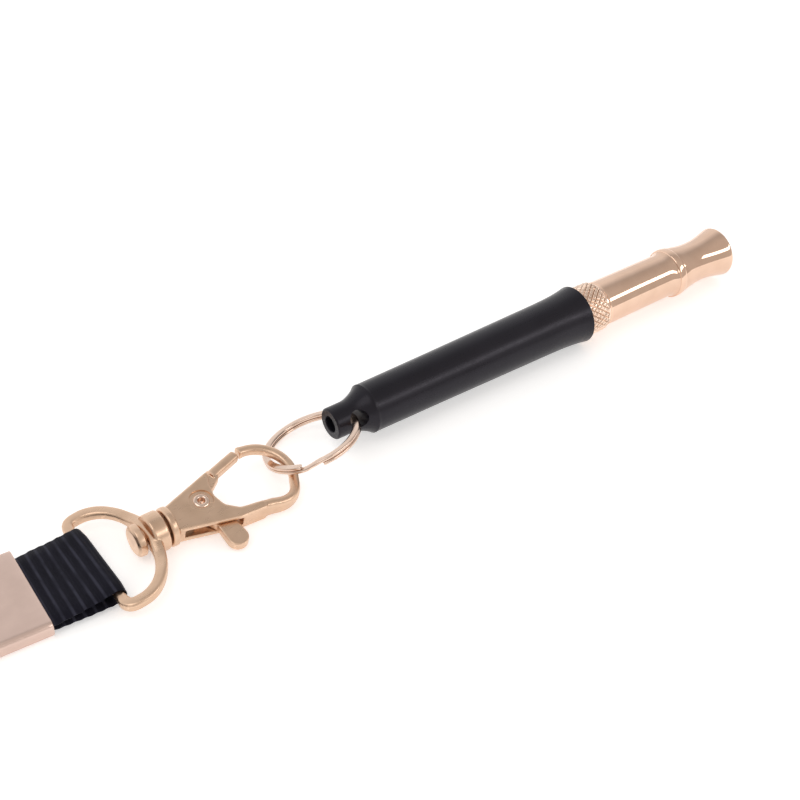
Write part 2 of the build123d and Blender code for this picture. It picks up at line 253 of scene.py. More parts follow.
def shrunk(outline, inset):
    """The outline moved inwards by an even distance; it runs anticlockwise."""
    if inset == 0:
        return list(outline)
    moved = []
    count = len(outline)
    for i in range(count):
        here = Vector(outline[i])
        back = (here - Vector(outline[i - 1])).normalized()
        ahead = (Vector(outline[(i + 1) % count]) - here).normalized()
        normal = Vector((-(back.y + ahead.y), back.x + ahead.x)).normalized()
        spread = max(0.5, normal.dot(Vector((-ahead.y, ahead.x))))
        moved.append(tuple(here + normal * inset / spread))
    return moved


def joined(name, parts, smooth_angle=40.0):
    """One piece of several (points, faces) solids."""
    points, faces = [], []
    for part_points, part_faces in parts:
        offset = len(points)
        points += part_points
        faces += [tuple(k + offset for k in face) for face in part_faces]
    return new_piece(name, points, faces, smooth_angle)


def applied(piece, kind, **settings):
    """Adds a modifier and applies it to the mesh."""
    modifier = piece.modifiers.new(kind.lower(), kind)
    for key, value in settings.items():
        setattr(modifier, key, value)
    bpy.context.view_layer.update()
    graph = bpy.context.evaluated_depsgraph_get()
    mesh = bpy.data.meshes.new_from_object(piece.evaluated_get(graph))
    piece.modifiers.clear()
    old = piece.data
    piece.data = mesh
    bpy.data.meshes.remove(old)


def cast(piece, voxel=0.11, rounds=6, strength=0.5):
    """Melts overlapping solids into one casting with softened edges. Sizes in millimetres."""
    enlarge = Matrix.Scale(1 / MM, 4)
    piece.data.transform(enlarge)
    applied(piece, "REMESH", mode="VOXEL", voxel_size=voxel, adaptivity=0.0)
    applied(piece, "SMOOTH", factor=strength, iterations=rounds)
    piece.data.transform(enlarge.inverted())
    shade(piece, 180)


def marked(piece, name, values):
    """Stores one number per point, for the material to read."""
    attribute = piece.data.attributes.new(name, "FLOAT", "POINT")
    attribute.data.foreach_set("value", values)


def finish_piece(piece, body, slot, material, *nodes):
    piece.data.materials.clear()
    piece.data.materials.append(material)
    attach(piece, body)
    if nodes:
        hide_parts(*nodes)


# ---- materials -----------------------------------------------------------------------------


def fill_ramp(node, stops):
    """Gives a colour ramp its stops, each (position, (r, g, b))."""
    elements = node.color_ramp.elements
    while len(elements) < len(stops):
        elements.new(1.0)
    for element, (position, colour) in zip(elements, stops):
        element.position = position
        element.color = (*colour, 1.0)


class Shader:
    """A few short calls for a node tree whose patterns are measured in millimetres."""

    def __init__(self, name):
        self.material = bpy.data.materials.new(name)
        self.material.use_nodes = True
        self.nodes = self.material.node_tree.nodes
        self.links = self.material.node_tree.links
        self.surface = self.nodes["Principled BSDF"]
        self.place = self.nodes.new("ShaderNodeTexCoord").outputs["Object"]
        self.height = None

    def socket(self, name, value):
        self.surface.inputs[name].default_value = value

    def stretched(self, x, y, z):
        """Object coordinates in millimetres, then divided by a size along each axis."""
        node = self.nodes.new("ShaderNodeMapping")
        node.inputs["Scale"].default_value = (1000 / x, 1000 / y, 1000 / z)
        self.links.new(self.place, node.inputs["Vector"])
        return node.outputs["Vector"]

    def noise(self, size, detail=3.0, roughness=0.5):
        """Noise whose grains are about this size, in millimetres, or (x, y, z) sizes."""
        sizes = size if isinstance(size, tuple) else (size, size, size)
        node = self.nodes.new("ShaderNodeTexNoise")
        node.inputs["Scale"].default_value = 1.0
        node.inputs["Detail"].default_value = detail
        node.inputs["Roughness"].default_value = roughness
        self.links.new(self.stretched(*sizes), node.inputs["Vector"])
        return node.outputs["Fac"]

    def ranged(self, value, low, high, start=0.3, stop=0.7):
        node = self.nodes.new("ShaderNodeMapRange")
        node.inputs["From Min"].default_value = start
        node.inputs["From Max"].default_value = stop
        node.inputs["To Min"].default_value = low
        node.inputs["To Max"].default_value = high
        self.links.new(value, node.inputs["Value"])
        return node.outputs["Result"]

    def ramp(self, value, *stops):
        """Colours along a value; each stop is (position, (r, g, b))."""
        node = self.nodes.new("ShaderNodeValToRGB")
        fill_ramp(node, stops)
        self.links.new(value, node.inputs["Fac"])
        return node.outputs["Color"]

    def mixed(self, value, low, high):
        node = self.nodes.new("ShaderNodeMix")
        node.data_type = "RGBA"
        self.plug(node.inputs["Factor"], value)
        self.plug(node.inputs[6], low)
        self.plug(node.inputs[7], high)
        return node.outputs[2]

    def maths(self, kind, first, second=0.0):
        node = self.nodes.new("ShaderNodeMath")
        node.operation = kind
        self.plug(node.inputs[0], first)
        self.plug(node.inputs[1], second)
        return node.outputs[0]

    def plug(self, socket, value):
        if isinstance(value, bpy.types.NodeSocket):
            self.links.new(value, socket)
        elif isinstance(value, tuple) and len(value) == 3:
            socket.default_value = (*value, 1.0)
        else:
            socket.default_value = value

    def colour(self, value):
        self.links.new(value, self.surface.inputs["Base Color"])

    def rough(self, value):
        self.links.new(value, self.surface.inputs["Roughness"])

    def bump(self, value, depth):
        """Adds relief of this depth in millimetres."""
        node = self.nodes.new("ShaderNodeBump")
        node.inputs["Distance"].default_value = depth * MM
        self.links.new(value, node.inputs["Height"])
        if self.height:
            self.links.new(self.height, node.inputs["Normal"])
        self.height = node.outputs["Normal"]
        self.links.new(self.height, self.surface.inputs["Normal"])

    def painted_edge_highlight(self):
        """Nearly 0 on flat faces, and 1 along outer edges; the mask of the painted edge highlight.
        """
        flat_face, outer_edge = 0.50, 0.56
        node = self.nodes.new("ShaderNodeNewGeometry")
        return self.ranged(node.outputs["Pointiness"], 0.0, 1.0, flat_face, outer_edge)


def black_plastic():
    """Moulded black plastic: soft sheen, flow marks along the whistle, fine scuffs."""
    s = Shader("black_plastic")
    cloud = s.noise(6.0, detail=4.0)
    s.colour(s.ramp(cloud, (0.30, (0.0060, 0.0056, 0.0085)), (0.72, (0.0095, 0.0088, 0.0125))))
    flow = s.noise((14.0, 0.35, 0.35), detail=4.0, roughness=0.6)
    scuff = s.noise((0.5, 1.4, 1.4), detail=5.0, roughness=0.7)
    grain = s.maths("ADD", s.ranged(flow, -0.035, 0.05), s.ranged(scuff, 0.26, 0.35))
    s.rough(grain)
    s.bump(flow, 0.006)
    s.bump(s.noise(0.18, detail=2.0), 0.0022)
    s.socket("Specular IOR Level", 0.30)
    s.socket("Specular Tint", (0.95, 0.89, 1.0, 1.0))
    s.socket("IOR", 1.49)
    return s.material


def metal(name, light, dark, rough_low, rough_high, grain, relief, streak):
    """Plated metal: clouded tint, a painted highlight along outer edges, and a polish that runs
    along one direction.
    """
    s = Shader(name)
    cloud = s.noise(3.2, detail=4.0, roughness=0.55)
    tint = s.ramp(cloud, (0.32, dark), (0.70, light))
    # base colour brightened along outer edges: a painted highlight on the edges
    edge_lit_tint = s.mixed(s.painted_edge_highlight(), tint, tuple(min(1.0, c * 1.12) for c in light))
    s.colour(edge_lit_tint)
    s.socket("Metallic", 1.0)
    lines = s.noise(streak, detail=4.0, roughness=0.65)
    s.rough(s.ranged(lines, rough_low, rough_high))
    s.bump(lines, relief)
    s.bump(s.noise(grain, detail=3.0), relief * 1.6)
    return s.material


def webbing_material():
    """Dyed polyester grosgrain: fine twisted threads over the woven ribs, with a painted highlight
    on the rib crowns.
    """
    s = Shader("navy_webbing")
    threads = s.noise((0.22, 1.6, 0.22), detail=3.0, roughness=0.6)
    fuzz = s.noise(0.12, detail=4.0, roughness=0.7)
    cloud = s.noise(4.5, detail=3.0)
    dye = s.ramp(cloud, (0.3, (0.0040, 0.0038, 0.0085)), (0.7, (0.0065, 0.0062, 0.0135)))
    faded = s.mixed(s.ranged(threads, 0.0, 0.5, 0.45, 0.78), dye, (0.016, 0.016, 0.028))
    relief = s.nodes.new("ShaderNodeAttribute")
    relief.attribute_name = "rib"
    patchy = s.ranged(s.noise((1.2, 3.0, 1.2)), 0.35, 1.0, 0.35, 0.6)
    # lighter colour on the rib crowns: a painted highlight where the crowns catch the light
    crest_highlight = s.maths("MULTIPLY", s.ranged(relief.outputs["Fac"], 0.0, 1.0, 0.86, 0.99), patchy)
    s.colour(s.mixed(crest_highlight, faded, (0.034, 0.034, 0.052)))
    s.rough(s.ranged(fuzz, 0.70, 0.92))
    s.socket("Sheen Weight", 0.12)
    s.socket("Sheen Roughness", 0.4)
    s.socket("Specular IOR Level", 0.16)
    s.bump(threads, 0.05)
    s.bump(fuzz, 0.02)
    return s.material


def rubber_material():
    s = Shader("seal_rubber")
    cloud = s.noise(1.2, detail=4.0)
    s.colour(s.ramp(cloud, (0.3, (0.012, 0.012, 0.012)), (0.7, (0.022, 0.021, 0.02))))
    s.rough(s.ranged(s.noise(0.4), 0.55, 0.75))
    s.bump(s.noise(0.15), 0.006)
    return s.material


def floor_material():
    """A white table with a little light of its own, as a lit product table has."""
    s = Shader("white_table")
    cloud = s.noise(60.0, detail=2.0)
    s.colour(s.ramp(cloud, (0.3, (0.90, 0.90, 0.90)), (0.7, (0.93, 0.93, 0.93))))
    s.rough(s.ranged(s.noise(2.0), 0.55, 0.65))
    s.socket("Specular IOR Level", 0.2)
    s.socket("Emission Color", (1.0, 0.995, 0.99, 1.0))
    s.socket("Emission Strength", 0.42)
    return s.material


PLASTIC = black_plastic()
NICKEL = metal("bright_nickel", (0.78, 0.55, 0.42), (0.72, 0.495, 0.37),
               0.045, 0.10, 0.5, 0.0006, (9.0, 0.5, 0.5))
KNURL = metal("knurled_nickel", (0.86, 0.66, 0.53), (0.68, 0.49, 0.38),
              0.13, 0.26, 0.3, 0.002, (0.6, 0.6, 0.6))
WIRE = metal("ring_wire_nickel", (0.80, 0.62, 0.51), (0.70, 0.52, 0.42),
             0.09, 0.19, 0.4, 0.0008, (2.0, 2.0, 0.2))
CAST = metal("satin_nickel", (0.76, 0.535, 0.385), (0.66, 0.455, 0.32),
             0.24, 0.40, 0.35, 0.004, (2.4, 0.6, 0.6))
PLATE = metal("satin_plate", (0.68, 0.51, 0.44), (0.63, 0.47, 0.405),
              0.28, 0.38, 0.6, 0.0007, (5.0, 0.3, 0.6))
BRASS = metal("plated_brass", (0.78, 0.62, 0.36), (0.68, 0.52, 0.28),
              0.12, 0.22, 0.5, 0.001, (0.4, 3.0, 3.0))
STEEL = metal("spring_steel", (0.62, 0.60, 0.58), (0.50, 0.48, 0.46),
              0.20, 0.30, 0.3, 0.001, (0.5, 0.5, 0.5))
WEBBING = webbing_material()
RUBBER = rubber_material()


# ---- the neck strap ------------------------------------------------------------------------

STRAP_WIDTH = 15.6
STRAP_THICKNESS = 0.8
LAYER_LOW, LAYER_HIGH = 1.0, 1.8
STRAP_TURN = math.radians(-4.0)
TURN_FROM, TURN_FULL = -112.0, -84.0  # the turn grows from nothing to its whole between these
BAR = joint_place("strap_fold") / MM
RIB_PITCH = 1.5
RIB_DEPTH = 0.14
SELVEDGE_WAVE = 0.05  # each rib pushes the edge out by this much
COIL_CENTRE = Vector((-171.5, 0.0))
COIL_OUTER = 52.6
ARM_PITCH = 11.8
ARM_TURNS = 1.06
TANGENT_AT = 58.0
STEPS_PER_TURN = 24

# The upper end of the strap, from the crimp to where it meets the coil, standing up on its edge
UPPER_LEAD = [
    (-69.0, 0.0, LAYER_HIGH),
    (-75.5, 0.0, LAYER_HIGH),
    (-83.0, 0.0, 1.9),
    (-91.0, 2.0, 3.0),
    (-101.0, 7.5, 5.8),
    (-112.0, 15.2, 8.0),
    (-123.5, 25.0, 7.9),
    (-134.5, 34.6, 7.8),
]
# The lower end lies under it, then comes out on its inner side
LOWER_LEAD = [
    (-69.0, 0.0, LAYER_LOW),
    (-75.5, 0.0, LAYER_LOW),
    (-83.5, -0.2, 1.1),
    (-92.5, 0.4, 2.7),
    (-103.0, 4.0, 6.0),
    (-114.5, 10.6, 8.1),
    (-126.0, 19.8, 7.9),
    (-137.2, 29.6, 7.8),
]


def turned_strap(point):
    """The strap leaves the D-ring at a slight angle; the turn fades out along the leads."""
    angle = STRAP_TURN * eased(point.x, TURN_FROM * MM, TURN_FULL * MM)
    pivot = Vector((BAR.x, SWIVEL.translation.y / MM, 0)) * MM
    spoke = Vector((point.x - pivot.x, point.y - pivot.y, 0))
    c, s = math.cos(angle), math.sin(angle)
    return Vector((pivot.x + spoke.x * c - spoke.y * s,
                   pivot.y + spoke.x * s + spoke.y * c, point.z))


def coil_point(radius, degrees):
    angle = math.radians(degrees)
    return (
        COIL_CENTRE.x + radius * math.cos(angle),
        COIL_CENTRE.y + radius * math.sin(angle),
        STRAP_WIDTH / 2,
    )


def arm_points(outer):
    """One arm of the double spiral, from the outside inwards; both arms turn the same way."""
    points = []
    steps = int(STEPS_PER_TURN * ARM_TURNS)
    for i in range(steps + 1):
        turns = i / STEPS_PER_TURN
        points.append(coil_point(outer - ARM_PITCH * turns, TANGENT_AT + 360 * turns))
    return points


def strap_route():
    """Control points of the whole strap: in at its lower end, out at its upper end."""
    lower = arm_points(COIL_OUTER - ARM_PITCH / 2)
    # the outer arm goes half a turn further, so that the two arms end opposite each other
    upper = arm_points(COIL_OUTER)
    half = STEPS_PER_TURN // 2
    last = len(upper)
    for i in range(last, last + half):
        turns = i / STEPS_PER_TURN
        upper.append(coil_point(COIL_OUTER - ARM_PITCH * turns, TANGENT_AT + 360 * turns))
    bend = s_bend(Vector(lower[-1]), Vector(upper[-1]))
    return LOWER_LEAD + lower + bend + upper[::-1] + UPPER_LEAD[::-1]


def s_bend(start, stop):
    """Points of two half circles through the coil's middle that join the arms' inner ends."""
    middle = (start + stop) / 2
    points = []
    for first, second, skip in ((start, middle, 1), (middle, stop, 0)):
        centre = (first + second) / 2
        arm = first - centre
        turn = 1 if skip else -1
        for i in range(skip, 8):
            angle = turn * math.pi * i / 8
            c, s = math.cos(angle), math.sin(angle)
            spoke = Vector((arm.x * c - arm.y * s, arm.x * s + arm.y * c, 0))
            points.append(tuple(centre + spoke))
    return points


def spline_points(name, route, resolution):
    """Points of the smooth line that a route's control points give, in metres."""
    curve = bpy.data.curves.new(name, "CURVE")
    curve.dimensions = "3D"
    curve.resolution_u = resolution
    spline = curve.splines.new("NURBS")
    spline.points.add(len(route) - 1)
    for point, place in zip(spline.points, route):
        point.co = (*(MM * v for v in place), 1.0)
    spline.order_u = 3
    spline.use_endpoint_u = True
    line = bpy.data.objects.new(name, curve)
    bpy.context.scene.collection.objects.link(line)
    bpy.context.view_layer.update()
    graph = bpy.context.evaluated_depsgraph_get()
    mesh = bpy.data.meshes.new_from_object(line.evaluated_get(graph))
    points = [v.co.copy() for v in mesh.vertices]
    bpy.data.meshes.remove(mesh)
    bpy.data.objects.remove(line)
    bpy.data.curves.remove(curve)
    return points


def evenly(points, step):
    """The same line as points an even distance apart, with the distance along it."""
    places, along = [points[0].copy()], [0.0]
    travelled, wanted = 0.0, step
    for a, b in zip(points, points[1:]):
        span = (b - a).length
        while span > 0 and travelled + span >= wanted:
            places.append(a.lerp(b, (wanted - travelled) / span))
            along.append(wanted)
            wanted += step
        travelled += span
    return places, along


def eased(value, start, stop):
    t = min(1.0, max(0.0, (value - start) / (stop - start)))
    return t * t * (3 - 2 * t)


def rib(along):
    """Relief of the woven ribs, 0 in a groove and 1 on a crown; along in millimetres."""
    return abs(math.sin(math.pi * along / RIB_PITCH)) ** 0.75


def band_section(half_width, crown, thickness=STRAP_THICKNESS):
    """A flat webbing section: two ribbed faces and two rounded selvedges, in millimetres."""
    edge, count = 0.28, 9
    core = thickness / 2 - RIB_DEPTH
    points = []
    for side in (1, -1):
        for i in range(count):
            t = 1 - 2 * i / (count - 1)
            near_edge = 1 - abs(t) ** 14
            height = core * (0.55 + 0.45 * near_edge) + RIB_DEPTH * crown * near_edge
            points.append((side * t * half_width, side * height))
        points.append((-side * (half_width + edge * 0.35), 0.0))
    return points


def neck_strap():
    line = [turned_strap(p) for p in spline_points("strap_line", strap_route(), 10)]
    length = sum((b - a).length for a, b in zip(line, line[1:]))
    step = RIB_PITCH * MM / 6
    path, along = evenly(line, step)
    twist_from, twist_to = 10.0 * MM, 62.0 * MM
    rings, relief = [], []
    for i, place in enumerate(path):
        ahead = path[min(i + 1, len(path) - 1)] - path[max(i - 1, 0)]
        travel = ahead.normalized()
        right = travel.cross(Vector((0, 0, 1))).normalized()
        into = eased(along[i], twist_from, twist_to)
        out = eased(length - along[i], twist_from, twist_to)
        turn = math.pi / 2 * into + math.pi / 2 * (1 - out)
        face = Vector((0, 0, 1)) * math.cos(turn) + right * math.sin(turn)
        face = (face - travel * face.dot(travel)).normalized()
        across = travel.cross(face)
        half = STRAP_WIDTH / 2 - 0.14
        wave = SELVEDGE_WAVE * math.cos(TURN * along[i] / MM / RIB_PITCH)
        section = band_section(half + wave, rib(along[i] / MM))
        rings.append([place + (across * x + face * y) * MM for x, y in section])
        relief += [rib(along[i] / MM)] * len(section)
    points, faces = skin(rings)
    strap = new_piece("neck_strap", points, faces, 60)
    marked(strap, "rib", relief)
    finish_piece(strap, "strap", "webbing", WEBBING,
                 "neck_strap_lower", "neck_strap_upper", "neck_strap_coil")


# ---- webbing tab and crimp -----------------------------------------------------------------

D_WIRE_HALF_WIDTH = 1.0
D_WIRE_HALF_HEIGHT = 0.8
IN_CRIMP = 8.5  # how far along the crimp the webbing loop's two ends reach
CRIMP_LOW, CRIMP_HIGH = (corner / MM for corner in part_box("crimp"))


def webbing_tab():
    """Ribbed webbing pulled tight round the D-ring's bar, both ends in the crimp."""
    pinched = 0.56
    radius = 1.2
    layers = []
    fold_x = CRIMP_HIGH.x + 0.6
    for z, side in ((LAYER_HIGH, 1), (LAYER_LOW, -1)):
        to_bar = Vector((BAR.x - fold_x, BAR.z - z))
        lean = math.atan2(to_bar.y, to_bar.x) + side * math.asin(radius / to_bar.length)
        touch = math.sqrt(to_bar.length**2 - radius**2)
        end = Vector((fold_x, z)) + Vector((math.cos(lean), math.sin(lean))) * touch
        angle = math.degrees(math.atan2(end.y - BAR.z, end.x - BAR.x))
        layers.append((Vector((CRIMP_LOW.x + IN_CRIMP, z)), Vector((fold_x, z)), angle))
    (top_in, top_fold, top_angle), (low_in, low_fold, low_angle) = layers
    bend = [Vector(p) for p in arc((BAR.x, BAR.z), radius, top_angle, low_angle, 24)]
    flat = [top_in, top_fold] + bend + [low_fold, low_in]
    line = [Vector((p.x, 0, p.y)) * MM for p in flat]
    path, along = evenly(line, RIB_PITCH * MM / 10)
    path = relaxed(path, 8)
    rings, relief = [], []
    for i, place in enumerate(path):
        travel = (path[min(i + 1, len(path) - 1)] - path[max(i - 1, 0)]).normalized()
        across = Vector((0, 1, 0))
        face = travel.cross(across)
        distance = along[i] / MM
        near_bar = eased(place.x / MM, CRIMP_HIGH.x + 1.5, BAR.x - 1.0)
        slump = 0.10 * noise.noise(Vector((distance * 0.35, 3.1, 0)))
        wave = SELVEDGE_WAVE * math.cos(TURN * distance / RIB_PITCH) + slump - 0.15 * near_bar
        thick = STRAP_THICKNESS + (pinched - STRAP_THICKNESS) * near_bar
        ring = []
        for x, y in band_section(STRAP_WIDTH / 2 - 0.42 + wave, rib(distance), thickness=thick):
            lift = 0.08 * noise.noise(Vector((x * 0.5, distance * 0.6, 7.7)))
            sway = across * (x + SWIVEL.translation.y / MM) + face * (y + lift * abs(y))
            ring.append(bent_round(place + sway * MM, near_bar))
        rings.append(ring)
        relief += [rib(distance)] * len(ring)
    points, faces = skin(rings)
    tab = new_piece("webbing_loop", points, faces, 60)
    marked(tab, "rib", relief)
    finish_piece(tab, "strap", "webbing", WEBBING, "webbing_tab")


def bent_round(point, near_bar):
    """From the crimp to the bar the webbing gives up most of its turn, to wrap the bar square."""
    starts_at, given_up = 0.02, 0.75
    turned_point = turned_strap(point)
    if near_bar < starts_at:
        return turned_point
    return turned_point.lerp(point, given_up * near_bar)


def relaxed(path, rounds):
    """The line with its sharp bends eased; its ends stay."""
    for _ in range(rounds):
        path = [path[0]] + [
            (a + b * 2 + c) / 4 for a, b, c in zip(path, path[1:], path[2:])
        ] + [path[-1]]
    return path


def crimp():
    """A sheet-metal plate folded round the webbing, its rims and corners rounded."""
    middle_z = (CRIMP_LOW.z + CRIMP_HIGH.z) / 2
    half_w = (CRIMP_HIGH.y - CRIMP_LOW.y) / 2
    half_h = (CRIMP_HIGH.z - CRIMP_LOW.z) / 2
    plate = 0.6
    rim = 0.16

    def section(inset, bow):
        w, h = half_w - inset, half_h - inset
        upper = max(0.3, 0.95 - inset)
        lower = max(0.3, 1.3 - inset)
        outline = rounded([(-w, -h, lower), (w, -h, lower), (w, h, upper), (-w, h, upper)], 6)
        seam = []
        for y, z in dense(outline, 1.2):
            z += bow * (1 - (y / w) ** 2) * (1 if z > 0 else 0)
            seam.append((y, z))
        return seam

    length = CRIMP_HIGH.x - CRIMP_LOW.x
    outer = [(rim * 0.3, rim * 0.3), (rim, 0.0)]
    count = 24
    outer += [(rim + (length - 2 * rim) * i / count, 0.0) for i in range(1, count)]
    outer += [(length - rim, 0.0), (length - rim * 0.3, rim * 0.3)]
    inner = [(length, rim), (length, plate - rim * 0.6), (length - rim, plate)]
    inner += [(rim, plate), (0.0, plate - rim * 0.6), (0.0, rim)]
    rings = []
    for x, inset in outer + inner:
        # the top is pressed in by a hair towards its middle, as a crimped plate is
        bow = -0.05 * math.sin(math.pi * min(1.0, max(0.0, x / length)))
        ring = []
        for y, z in section(inset, bow):
            corner = Vector((CRIMP_LOW.x + x, y, middle_z + z)) * MM
            ring.append(turned_strap(corner))
        rings.append(ring)
    points, faces = skin(rings, closed=True)
    shell = new_piece("crimp_plate", points, faces, 50)
    finish_piece(shell, "strap", "crimp_plate", PLATE, "crimp")


def dense(outline, step):
    """A closed outline with long sides divided, so that it can bend."""
    points = []
    for a, b in zip(outline, outline[1:] + outline[:1]):
        span = math.dist(a, b)
        count = max(1, int(span / step))
        for i in range(count):
            t = i / count
            points.append((a[0] + (b[0] - a[0]) * t, a[1] + (b[1] - a[1]) * t))
    return points


# ---- D-ring, clasp and split ring ----------------------------------------------------------

BOSS_LENGTH = 2.5
BOSS_R = 3.1
PIN_R = 1.2
PIN_HEAD = 1.35
PIN_HEAD_GAP = 1.05


def d_ring_frame():
    """X runs along the D-ring from its bar to its boss, which is the origin."""
    origin = SWIVEL.translation
    x = origin - joint_place("strap_fold")
    x.y = 0.0
    x.normalize()
    y = Vector((0, 1, 0))
    return basis(origin, x, y, x.cross(y))


def d_ring():
    """The cast D-ring: flat-topped wire that widens into its boss."""
    half_width, bar_x, bend_x, crown_x = 9.87, -9.65, -7.4, -0.9
    outline = rounded([(bend_x, -half_width, 0), (bar_x, -half_width, 1.6),
                       (bar_x, half_width, 1.6), (bend_x, half_width, 0)], 6)
    for x, y in arc((0, 0), 1.0, 90, -90, 60)[1:-1]:
        outline.append((bend_x + (crown_x - bend_x) * x, half_width * y))
    outline = dense(outline, 0.8)
    path = [Vector((x, y, 0)) for x, y in outline]
    sides = []
    count = len(path)
    for i in range(count):
        along = path[(i + 1) % count] - path[i - 1]
        sides.append(Vector((along.y, -along.x, 0)).normalized())
    sections = []
    for i, place in enumerate(path):
        near_boss = eased(abs(place.y), 5.4, 1.4) if place.x > bend_x else 0.0
        covered = eased(abs(place.y), 8.6, 7.8) if place.x < bend_x else 0.0
        half_w = (D_WIRE_HALF_WIDTH - 0.1 + 0.1 * near_boss + 0.03 * math.sin(0.37 * i)
                  - 0.16 * covered)
        half_h = D_WIRE_HALF_HEIGHT + 0.85 * near_boss - 0.06 * covered
        sections.append(superellipse(half_w, half_h, 3.4, 20))
    wire = swept(path, sides, sections, scaled(d_ring_frame()), closed=True)
    half = BOSS_LENGTH / 2
    bore = PIN_R + 0.06
    profile = [(-half, bore), (-half, BOSS_R - 0.25), (-half + 0.25, BOSS_R)]
    profile += [(half - 0.25, BOSS_R), (half, BOSS_R - 0.25), (half, bore)]
    upright = scaled(Matrix.Translation(SWIVEL.translation))
    boss = skin([ring_points(x, r, upright, 64) for x, r in profile], closed=True)
    ring = joined("d_ring_casting", [wire, boss])
    cast(ring, 0.12, 5)
    finish_piece(ring, "d_ring", "cast_zinc", CAST, "swivel_ring")


def pin():
    """The swivel's pin, with its broad bevelled head."""
    head_from = -(BOSS_LENGTH / 2) - PIN_HEAD_GAP - PIN_HEAD
    profile = [(head_from, 0.0), (head_from, 1.95), (head_from + 0.3, 2.42)]
    head_to = head_from + PIN_HEAD
    profile += [(head_to - 0.16, 2.5), (head_to, 2.32), (head_to, PIN_R)]
    profile += [(2.9, PIN_R), (3.1, 0.0)]
    shaft = turned("pin_with_head", soften(profile, 0.14), scaled(SWIVEL), 72, smooth_angle=35)
    finish_piece(shaft, "clasp", "cast_zinc", CAST, "swivel_pin")


HOOK_CENTRE = Vector((18.4, 1.4, 0.0))
HOOK_R = 5.45
HOOK_TIP_AT, HOOK_ROOT_AT = 94.0, -98.0
RIVET = Vector((8.15, 0.9, 0.0))


def hook_line():
    """The hook's middle line on the clasp's plane, from the body round to the gate."""
    bend = []
    for x, y in arc((0, 0), HOOK_R, HOOK_ROOT_AT, HOOK_TIP_AT, 52):
        angle = math.degrees(math.atan2(y, x))
        fuller = max(0.0, math.cos(math.radians(min(90.0, abs(angle + 66.0) * 2.5)))) ** 1.5
        reach = 1 + 0.6 * fuller / HOOK_R
        bend.append((HOOK_CENTRE.x + x * reach, HOOK_CENTRE.y + y * reach))
    root = math.radians(HOOK_ROOT_AT)
    back = Vector((math.sin(root), -math.cos(root)))
    lead = [tuple(Vector(bend[0]) + back * d) for d in (5.2, 4.2, 3.2, 2.2, 1.1)]
    return lead + bend


def on_rivet():
    """A place whose X runs down along the rivet's axis."""
    return scaled(CLASP) @ Matrix.Translation(RIVET) @ Matrix.Rotation(-math.pi / 2, 4, "Y")


def clasp_body():
    """The cast body: a slotted flat plate, the flange at its swivel, and the tapering hook."""
    place = scaled(CLASP)
    half, slot_half = 1.6, 0.86
    outline = rounded([
        (2.4, -2.3, 0), (12.0, -4.5, 1.6), (16.4, -4.72, 0.4), (16.4, -3.25, 0.4),
        (12.7, -2.75, 1.6), (10.9, -1.2, 1.6), (10.35, 0.9, 1.8), (10.75, 3.0, 1.6),
        (11.3, 4.3, 0.5), (11.7, 5.35, 0.3), (2.4, 2.3, 0),
    ], 5)
    bridge = [(2.3, -2.2), (3.7, -2.55), (3.7, 2.65), (2.3, 2.2)]
    hook_foot = [(12.3, -4.5), (16.2, -4.6), (16.2, -3.2), (12.7, -2.8), (12.3, -2.6)]
    plates = [
        prism(outline, slot_half, half, 0.28, place),
        prism(outline, -half, -slot_half, 0.28, place),
        prism(bridge, -1.2, 1.2, 0.1, place),
        prism(hook_foot, -1.2, 1.2, 0.1, place),
    ]
    path = [Vector((x, y, 0)) for x, y in hook_line()]
    sides, sections = [], []
    total = len(path) - 1
    for i in range(total + 1):
        along = path[min(i + 1, total)] - path[max(i - 1, 0)]
        sides.append(Vector((along.y, -along.x, 0)))
        root = 1 - eased(i / total, 0.0, 0.50)
        lip = eased(i / total, 0.955, 0.985)
        wide = 0.75 + 0.12 * root + 0.09 * lip
        thick = 0.80 + 0.72 * root + 0.08 * lip
        sections.append(superellipse(wide, thick, 2.8, 24))
    hook = swept(path, sides, sections, place)
    body = joined("clasp_casting", plates + [hook, flange_solid(place)])
    cast(body, 0.11, 8)
    seat = [(-2.2, 0), (-2.2, 1.92), (-1.38, 1.86), (-1.38, 0.86)]
    seat += [(-x, r) for x, r in reversed(seat)]
    carved(body, turned("rivet_seat", seat, on_rivet(), 64))
    shade(body, 50)
    finish_piece(body, "clasp", "cast_zinc", CAST, "clasp_body")


def flange_solid(place):
    """The round flange that stops the clasp against the D-ring's boss."""
    profile = [(1.55, 0), (1.55, 2.85), (1.75, 3.05), (2.55, 3.05), (2.75, 2.85), (2.75, 0)]
    return skin([ring_points(x, r, place, 56) for x, r in profile])


def carved(piece, cutter):
    applied(piece, "BOOLEAN", operation="DIFFERENCE", object=cutter, solver="EXACT")
    mesh = cutter.data
    bpy.data.objects.remove(cutter)
    bpy.data.meshes.remove(mesh)


def rivet():
    """The rivet's two rolled heads, each with the small hollow of its punch."""
    top = 1.6
    profile = [(-top + 0.95, 0.0), (-top + 0.95, 0.46), (-top + 0.1, 0.56)]
    profile += [(-top - 0.02, 0.78), (-top, 1.02)]
    profile += [(-top + 0.14, 1.24), (-top + 0.3, 1.26), (-top + 0.3, 0.84)]
    profile += [(-x, r) for x, r in reversed(profile)]
    piece = turned("rivet_rolled", soften(profile, 0.1, 3), on_rivet(), 56, smooth_angle=50)
    finish_piece(piece, "clasp", "steel_wire", WIRE, "clasp_rivet")


